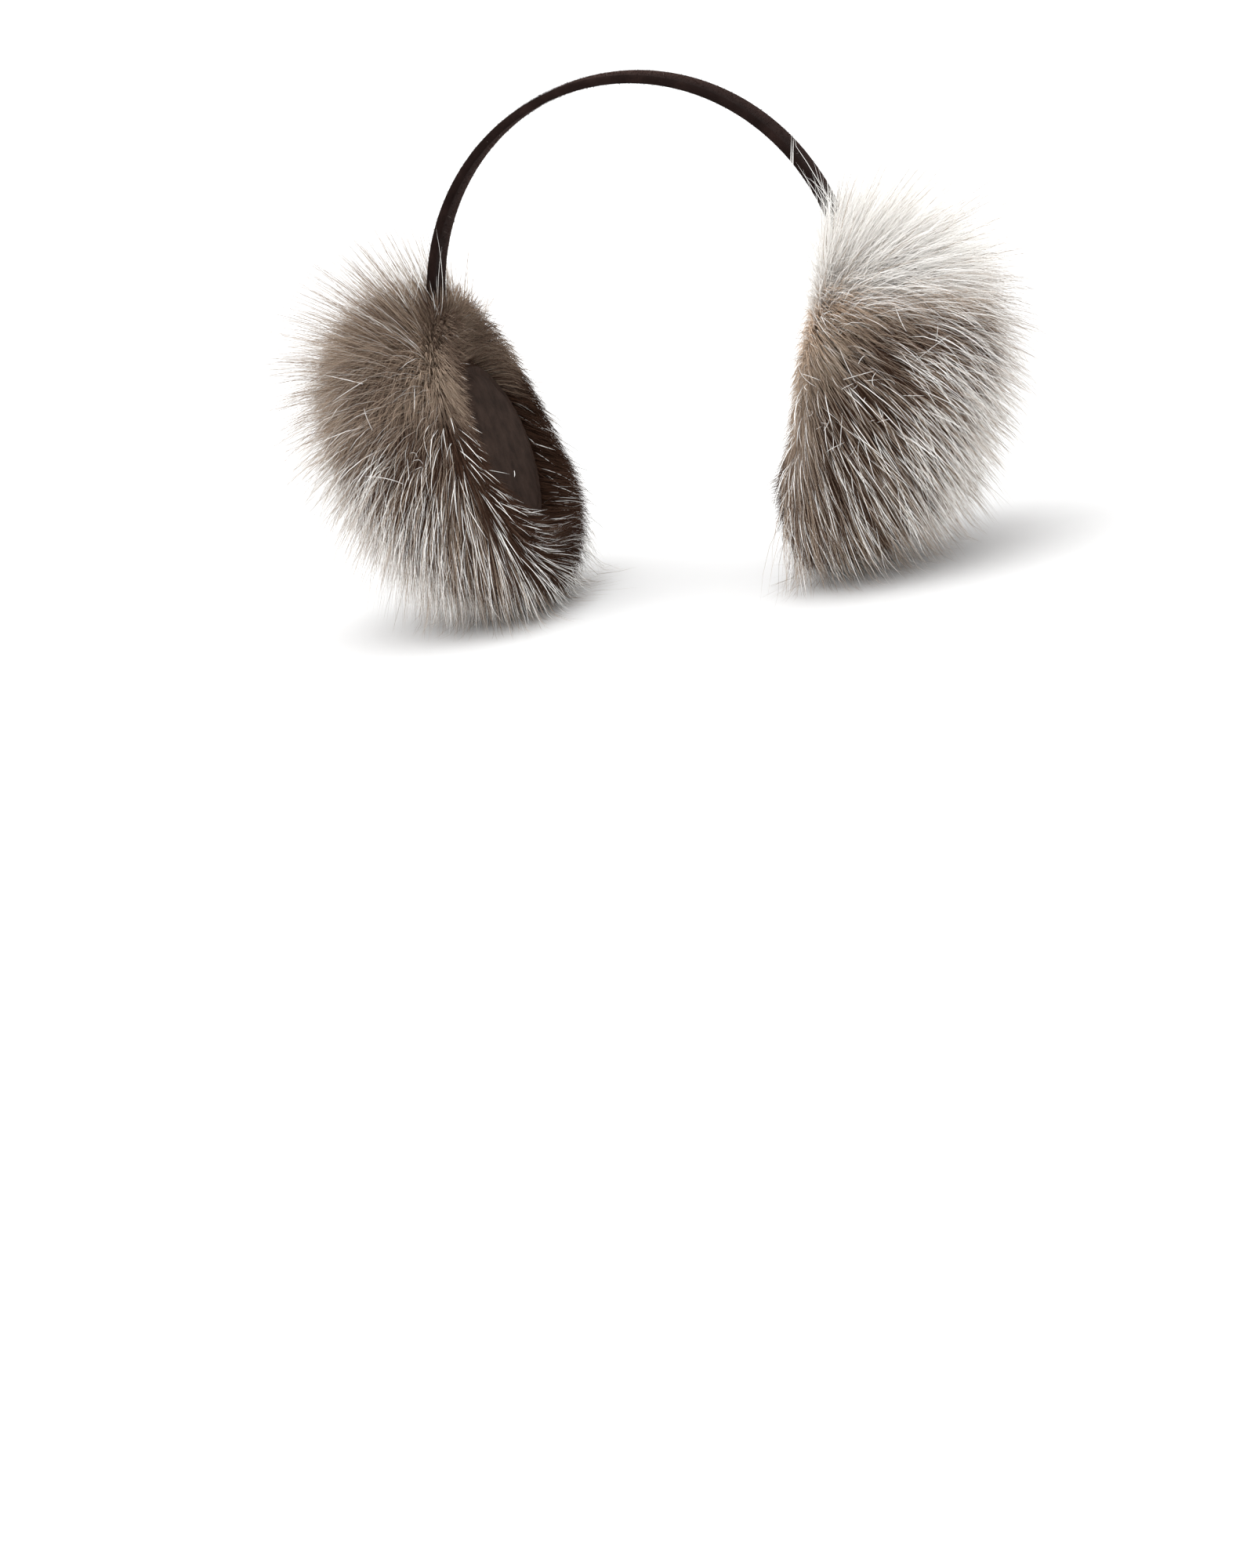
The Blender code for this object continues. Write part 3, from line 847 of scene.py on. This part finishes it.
def make_strip(band):
    """Half of the strip, drawn out step by step along its bow from the crown, and mirrored."""
    x, z, turns = band_line(band, 48)
    deselect_all()
    bpy.ops.mesh.primitive_plane_add(
        size=1, location=(x[0], 0, z[0]), rotation=(0, math.pi / 2, 0)
    )
    bpy.ops.object.transform_apply(location=True, rotation=True)
    strip = bpy.context.object
    set_mode("EDIT")
    bpy.ops.transform.resize(
        value=(1, band.width, band.thickness), center_override=(x[0], 0, z[0])
    )
    for number in range(1, len(x)):
        bpy.ops.mesh.extrude_region_move(TRANSFORM_OT_translate={
            "value": (x[number] - x[number - 1], 0, z[number] - z[number - 1])
        })
        bpy.ops.transform.rotate(
            value=turns[number - 1] - turns[number], orient_axis="Y",
            center_override=(x[number], 0, z[number]),
        )
    set_mode("OBJECT")
    mesh = strip.data
    in_middle = [face.center.x < MERGE_DISTANCE for face in mesh.polygons]
    mesh.vertices.foreach_set("select", [False] * len(mesh.vertices))
    mesh.edges.foreach_set("select", [False] * len(mesh.edges))
    mesh.polygons.foreach_set("select", in_middle)
    set_mode("EDIT")
    bpy.ops.mesh.delete(type="FACE")
    set_mode("OBJECT")
    mirror = strip.modifiers.new("Other half", "MIRROR")
    mirror.merge_threshold = MERGE_DISTANCE
    bpy.ops.object.modifier_apply(modifier=mirror.name)
    bevel = strip.modifiers.new("Rounded edges", "BEVEL")
    bevel.limit_method = "ANGLE"
    bevel.angle_limit = math.radians(50)
    bevel.width = band.edge_rounding
    bevel.segments = 4
    bpy.ops.object.modifier_apply(modifier=bevel.name)
    set_mode("EDIT")
    bpy.ops.mesh.select_all(action="SELECT")
    bpy.ops.mesh.normals_make_consistent(inside=False)
    set_mode("OBJECT")
    bpy.ops.object.shade_smooth_by_angle(angle=math.radians(40))
    return strip


def grow_nap(band, rng):
    """Short fibres all over the strip, brushed along it, with a little pale lint."""
    count = band.nap_count
    along = rng.uniform(-1, 1, count)
    bow = band_line(band)
    number = np.abs(along) * (len(bow[0]) - 1)
    x, z, turn = (np.interp(number, np.arange(len(row)), row) for row in bow)
    level = np.zeros(count)
    middle = np.stack([x, level, z], 1)
    thick = np.stack([np.sin(turn), level, np.cos(turn)], 1)
    forward = np.stack([np.cos(turn), level, -np.sin(turn)], 1)
    wide = np.array([0.0, 1.0, 0.0])
    half_width, half_thickness = 0.5 * band.width, 0.5 * band.thickness
    half_round = half_width + half_thickness
    place = rng.uniform(0, 2 * half_round, count) - half_width - half_thickness
    flat = np.abs(place) < half_width
    face = np.where(rng.random(count) < 0.5, -1.0, 1.0)
    over = np.sign(place) * np.minimum(np.abs(place), half_width)
    on_edge = face * rng.uniform(0, 1, count) * half_thickness
    through = np.where(flat, face * half_thickness, on_edge)
    rounded = band.edge_rounding * 0.6
    corner = np.abs(over) > half_width - rounded
    corner &= np.abs(through) > half_thickness - rounded
    shrink = np.where(corner, band.edge_rounding * 0.3, 0.0)
    over -= np.sign(over) * shrink
    through -= np.sign(through) * shrink
    normal = np.where(flat[:, None], thick * face[:, None], wide * np.sign(place)[:, None])
    root = middle + wide * over[:, None] + thick * through[:, None]
    slant = forward * 0.55 + rng.normal(0, 0.35, (count, 3))
    length = band.nap_length * rng.uniform(0.5, 1.2, count)
    tones = rng.uniform(0.0, 0.8, count)
    lint = rng.random(count) < LINT_SHARE
    tones[lint] = LINT_TONE
    length[lint] *= LINT_LENGTH
    tip = root + unit(normal + slant) * length[:, None]
    bend = root + unit(normal + 0.3 * slant) * 0.55 * length[:, None]
    lines = np.stack([root, bend, tip], 1)
    lines[..., 0] *= np.sign(along)[:, None]
    normal[:, 0] *= np.sign(along)
    widths = np.array(NAP_TAPER)[None] * rng.uniform(0.7, 1.2, (count, 1))
    return strands_mesh(lines, widths, tones, normal, rng)


def velvet_material(band):
    """Dark pile with brushed mottling, and a painted sheen: paler and redder where it is seen from
    the side.
    """
    material, tree = new_material("band_velvet_pile", 0.95, 0.05)
    mottle = colour_ramp(tree, "Brushed pile", noise(tree, "Brushing", 75.0, 4.0, 0.65), [
        (0.30, times(band.velvet, 0.6)), (0.55, band.velvet[:]), (0.75, times(band.velvet, 1.7)),
    ])
    # Painted sheen: the pile turns paler and redder where the strip is seen edge-on.
    facing = add_node(tree, "ShaderNodeLayerWeight", "Painted sheen seen from the side")
    facing.inputs["Blend"].default_value = 0.25
    rim = colour_ramp(tree, "Rim", facing.outputs["Facing"], [(0.45, (0, 0, 0)), (1.0, (1, 1, 1))])
    colour = mix_colours(tree, "Painted sheen at the rim", rim, mottle, (*band.velvet_sheen, 1.0))
    link_shader(tree, colour, "Base Color")
    add_bump(tree, "Pile", 0.35, noise(tree, "Fibres", 2200.0, 2.0))
    return material


def nap_material(band):
    """Fibres from the velvet's dark to its reddish painted sheen colour, and pale lint."""
    material, tree = new_material("velvet_fibres", 0.9, 0.1)
    tone = hair_shares(tree)[1]
    # The palest fibres take the painted sheen colour, spread at random over the nap.
    colour = colour_ramp(tree, "Fibre or lint", tone, [
        (0.0, times(band.velvet, 0.7)), (0.55, times(band.velvet, 1.3)),
        (0.82, times(band.velvet_sheen, 0.8)), (0.95, (0.32, 0.28, 0.26)),
    ])
    link_shader(tree, colour, "Base Color")
    return material


class EARMUFFS_OT_headband(bpy.types.Operator):
    """Build the velvet strip and its nap"""

    bl_idname = "earmuffs.headband"
    bl_label = "Velvet headband"

    def execute(self, context):
        band = context.scene.earmuff_band
        strip = make_strip(band)
        finish_piece(strip, "velvet_strip", "headband", velvet_material(band))
        nap = grow_nap(band, np.random.default_rng(NAP_SEED))
        finish_piece(nap, "velvet_nap", "headband", nap_material(band))
        return {"FINISHED"}


# ---- ear cushions


def puff_up(obj, voxel, frames, pressure, most):
    """Remeshes the shape and inflates it as cloth, with no point moving further than most."""
    obj.data.remesh_voxel_size = voxel
    bpy.ops.object.voxel_remesh()
    start = points_of(obj.data)
    cloth = obj.modifiers.new("Padding", "CLOTH")
    cloth.settings.use_pressure = True
    cloth.settings.uniform_pressure_force = pressure
    cloth.settings.effector_weights.gravity = 0
    cloth.point_cache.frame_start, cloth.point_cache.frame_end = 1, frames
    for number in range(1, frames + 1):
        bpy.context.scene.frame_set(number)
    graph = bpy.context.evaluated_depsgraph_get()
    swollen = points_of(obj.evaluated_get(graph).data)
    obj.modifiers.remove(cloth)
    bpy.context.scene.frame_set(1)
    moved = swollen - start
    far = np.linalg.norm(moved, axis=1, keepdims=True)
    move_points(obj.data, start + moved * np.minimum(1, most / np.maximum(far, 1e-9)))
    obj.data.update()


def make_cushion(pad, cushion, side):
    """A round, padded disc, drawn in at its sewn rim and set on the pad's inner side."""
    depth = cushion.thickness
    deselect_all()
    bpy.ops.mesh.primitive_cylinder_add(
        vertices=96, radius=cushion.radius - 0.0009, depth=depth, location=(0, 0, depth / 2)
    )
    disc = bpy.context.object
    bpy.ops.object.transform_apply(location=True)
    set_mode("EDIT")
    bpy.ops.mesh.select_all(action="SELECT")
    bpy.ops.mesh.bevel(offset=0.3 * depth, segments=3, affect="EDGES", clamp_overlap=True)
    set_mode("OBJECT")
    puff_up(disc, voxel=0.0013, frames=20, pressure=4.0, most=0.0008)
    points = points_of(disc.data)
    radial = np.hypot(points[:, 0], points[:, 1])
    turn = np.arctan2(points[:, 1], points[:, 0])
    front = smooth_step(points[:, 2], 0.55 * depth, 0.8 * depth)
    from_seam = radial - cushion.seam_radius
    seam = cushion.seam_depth * np.exp(-(from_seam / 0.0013) ** 2)
    folds = np.sin(cushion.gathers * turn + 2 * np.sin(7 * turn))
    gathers = cushion.gather_height * folds * np.exp(-(from_seam / 0.0035) ** 2)
    crown = cushion.crown * np.clip(1 - (radial / cushion.seam_radius) ** 2, 0, 1)
    points[:, 2] += front * (crown - seam + gathers)
    points[:, 2] = np.maximum(points[:, 2], 0.0)
    move_points(disc.data, points)
    smooth = disc.modifiers.new("Smooth cloth", "SUBSURF")
    smooth.levels = smooth.render_levels = 1
    bpy.ops.object.modifier_apply(modifier=smooth.name)
    place = (
        Matrix.Diagonal((side, 1, 1, 1))
        @ Matrix.Translation((pad.middle_out, 0, pad.middle_height))
        @ Matrix.Rotation(pad.lean, 4, "Y")
        @ Matrix.Translation((-cushion.back, 0, 0))
        @ Matrix.Rotation(-math.pi / 2, 4, "Y")
    )
    disc.data.transform(place)
    if side < 0:
        disc.data.flip_normals()
    bpy.ops.object.shade_smooth()
    return disc


def cloth_material(cushion):
    """Dark, fine brushed cloth."""
    material, tree = new_material("cushion_brushed_cloth", 0.95, 0.05)
    colour = colour_ramp(tree, "Brushing", noise(tree, "Soft brushing", 120.0, 4.0, 0.6), [
        (0.30, times(cushion.cloth, 0.7)), (0.70, times(cushion.cloth, 1.5)),
    ])
    link_shader(tree, colour, "Base Color")
    coordinates = add_node(tree, "ShaderNodeTexCoord", "Thread place")
    threads = add_node(tree, "ShaderNodeTexVoronoi", "Threads")
    threads.inputs["Scale"].default_value = 1600.0
    tree.links.new(coordinates.outputs["Object"], threads.inputs["Vector"])
    add_bump(tree, "Threads", 0.4, threads.outputs["Distance"])
    return material


class EARMUFFS_OT_ear_cushions(bpy.types.Operator):
    """Upholster the two ear cushions"""

    bl_idname = "earmuffs.ear_cushions"
    bl_label = "Ear cushions"

    def execute(self, context):
        pad, cushion = context.scene.earmuff_pad, context.scene.earmuff_cushion
        material = cloth_material(cushion)
        for name, side in SIDES.items():
            disc = make_cushion(pad, cushion, side)
            node = "ear_cushion_" + name
            finish_piece(disc, "padded_cushion_" + name, node, material)
        return {"FINISHED"}


# ---- stage


class EARMUFFS_OT_stage(bpy.types.Operator):
    """Set up the floor, the light and the camera"""

    bl_idname = "earmuffs.stage"
    bl_label = "Stage"

    def execute(self, context):
        scene = context.scene
        stage = scene.earmuff_stage
        pad = scene.earmuff_pad
        deselect_all()
        bpy.ops.mesh.primitive_plane_add(size=120.0, location=(0, 0, 0))
        floor = bpy.context.object
        floor.name = "floor"
        material, tree = new_material("pale_floor", 0.9, 0.0)
        tone = colour_ramp(tree, "Paper", noise(tree, "Paper grain", 30.0), [
            (0.3, times(stage.floor, 0.995)), (0.7, times(stage.floor, 1.005)),
        ])
        link_shader(tree, tone, "Base Color")
        floor.data.materials.append(material)

        world = bpy.data.worlds.new("studio")
        scene.world = world
        world.use_nodes = True
        backdrop = world.node_tree.nodes["Background"]
        backdrop.inputs["Color"].default_value = (1.0, 1.0, 1.0, 1.0)
        backdrop.inputs["Strength"].default_value = stage.ambient
        deselect_all()
        bpy.ops.object.light_add(type="SUN", location=(-1.0, -1.5, 2.5))
        key = bpy.context.object
        key.name = "key_light"
        key.data.energy = stage.key
        key.data.angle = stage.key_softness
        key.rotation_mode = "QUATERNION"
        key.rotation_quaternion = Vector((0.25, 0.5, -1.3)).to_track_quat("-Z", "Y")
        scene.view_settings.view_transform = "Standard"

        back = Vector((
            math.sin(stage.azimuth) * math.cos(stage.elevation),
            -math.cos(stage.azimuth) * math.cos(stage.elevation),
            math.sin(stage.elevation),
        ))
        level = Vector((0, 0, 1)).cross(back).normalized()
        upright = back.cross(level)
        right = math.cos(stage.roll) * level - math.sin(stage.roll) * upright
        up = math.sin(stage.roll) * level + math.cos(stage.roll) * upright
        aim = Vector((0, 0, pad.middle_height)) - stage.aim_left * right - stage.aim_below * up
        deselect_all()
        bpy.ops.object.camera_add(location=aim + stage.distance * back)
        camera = bpy.context.object
        camera.name = "photo_camera"
        camera.rotation_mode = "QUATERNION"
        camera.rotation_quaternion = Matrix((right, up, back)).transposed().to_quaternion()
        camera.data.lens = stage.lens
        camera.data.sensor_width = 36.0
        camera.data.clip_end = 200.0
        scene.camera = camera
        return {"FINISHED"}


class EARMUFFS_PT_builder(bpy.types.Panel):
    """Steps that build the earmuffs"""

    bl_label = "Fur Earmuffs"
    bl_idname = "EARMUFFS_PT_builder"
    bl_space_type = "VIEW_3D"
    bl_region_type = "UI"
    bl_category = "Earmuffs"

    def draw(self, context):
        for operator in OPERATORS:
            self.layout.operator(operator.bl_idname)


SETTINGS = {
    "earmuff_band": BandSettings,
    "earmuff_pad": PadSettings,
    "earmuff_cushion": CushionSettings,
    "earmuff_stage": StageSettings,
}
OPERATORS = (
    EARMUFFS_OT_headband, EARMUFFS_OT_fur_pads, EARMUFFS_OT_ear_cushions, EARMUFFS_OT_stage,
)


def register():
    for cls in (*SETTINGS.values(), *OPERATORS, EARMUFFS_PT_builder):
        bpy.utils.register_class(cls)
    for name, cls in SETTINGS.items():
        setattr(bpy.types.Scene, name, PointerProperty(type=cls))


def unregister():
    for name in SETTINGS:
        delattr(bpy.types.Scene, name)
    for cls in (EARMUFFS_PT_builder, *reversed(OPERATORS), *reversed(SETTINGS.values())):
        bpy.utils.unregister_class(cls)


def main():
    register()
    bpy.ops.earmuffs.headband()
    bpy.ops.earmuffs.fur_pads()
    bpy.ops.earmuffs.ear_cushions()
    bpy.ops.earmuffs.stage()


if __name__ == "__main__":
    main()
